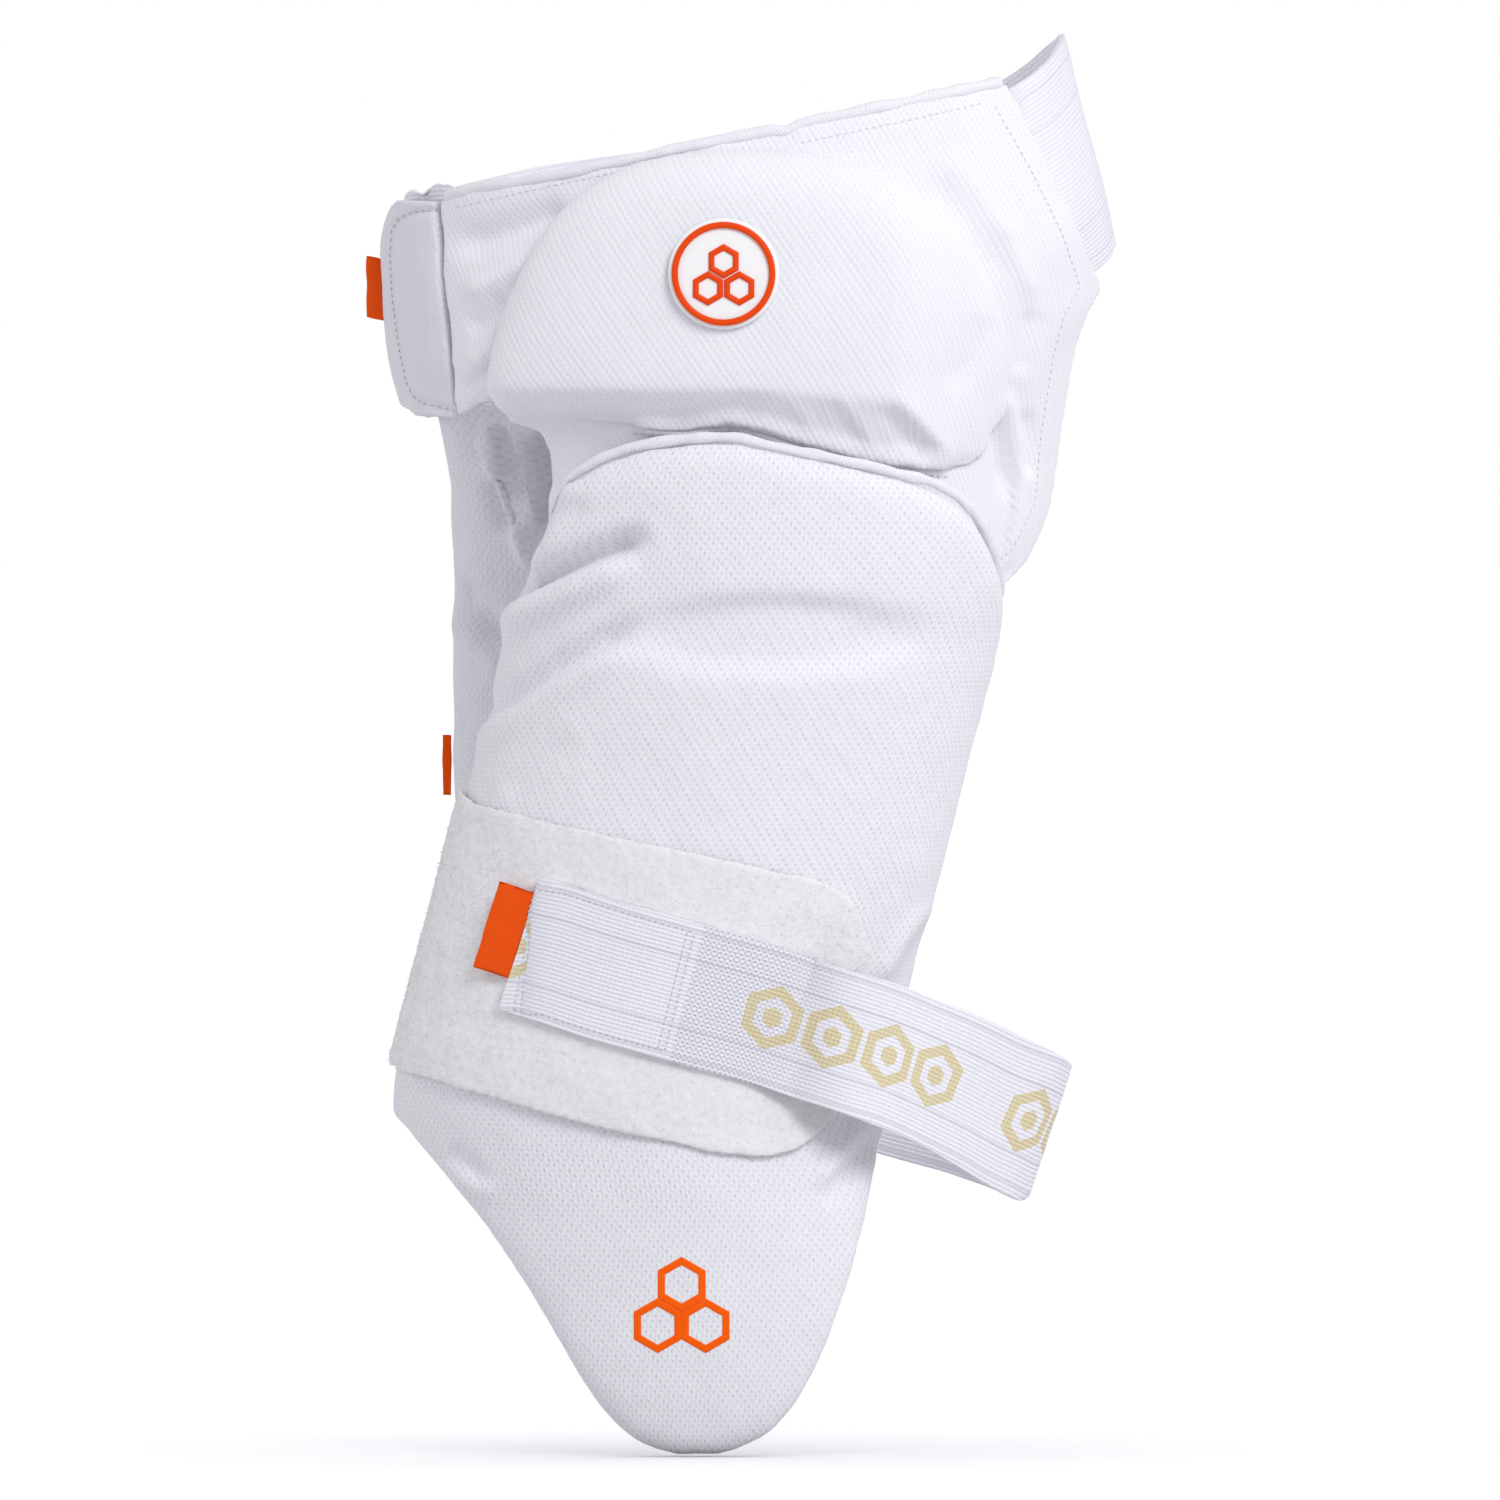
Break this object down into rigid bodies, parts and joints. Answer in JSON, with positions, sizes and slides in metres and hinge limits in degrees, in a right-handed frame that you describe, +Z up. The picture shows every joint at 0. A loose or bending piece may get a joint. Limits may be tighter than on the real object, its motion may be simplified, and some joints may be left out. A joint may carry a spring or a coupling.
{
  "type": "cricket thigh guard",
  "caption": "White padded guard in worn form: waist belt with hip pad, long outer thigh pad with leg strap, and a separate inner pad for the other leg.",
  "frame": {"origin": "middle of the waist opening at mid belt height, where the wearer's waist sits", "axes": "+Z up along the standing wearer, -Y towards the outer side of the padded leg, -X towards the front of the body where the belt closes"},
  "size_m": [0.2727, 0.2565, 0.5119],
  "materials": {
    "cover_fabric": "matt white polyester knit over foam",
    "binding_tape": "matt white bound edge",
    "loop_pile": "brushed white loop pile",
    "elastic": "ribbed white woven elastic",
    "orange_label": "woven orange label, bare",
    "white_rubber": "satin moulded white rubber",
    "orange_rubber": "satin moulded orange rubber"
  },
  "bodies": {
    "root": {"belt_yoke": "cover_fabric", "belt_binding": "binding_tape", "closing_tab": "cover_fabric", "waist_elastic": "elastic", "waist_tag": "orange_label", "hip_pad": "cover_fabric", "badge_disc": "white_rubber", "badge_ring": "orange_rubber", "thigh_pad": "cover_fabric", "pad_piping": "binding_tape", "plush_panel": "loop_pile", "leg_strap": "elastic", "strap_tag": "orange_label", "inner_guard": "cover_fabric", "inner_strap": "elastic", "inner_tag": "orange_label"}
  },
  "joints": []
}
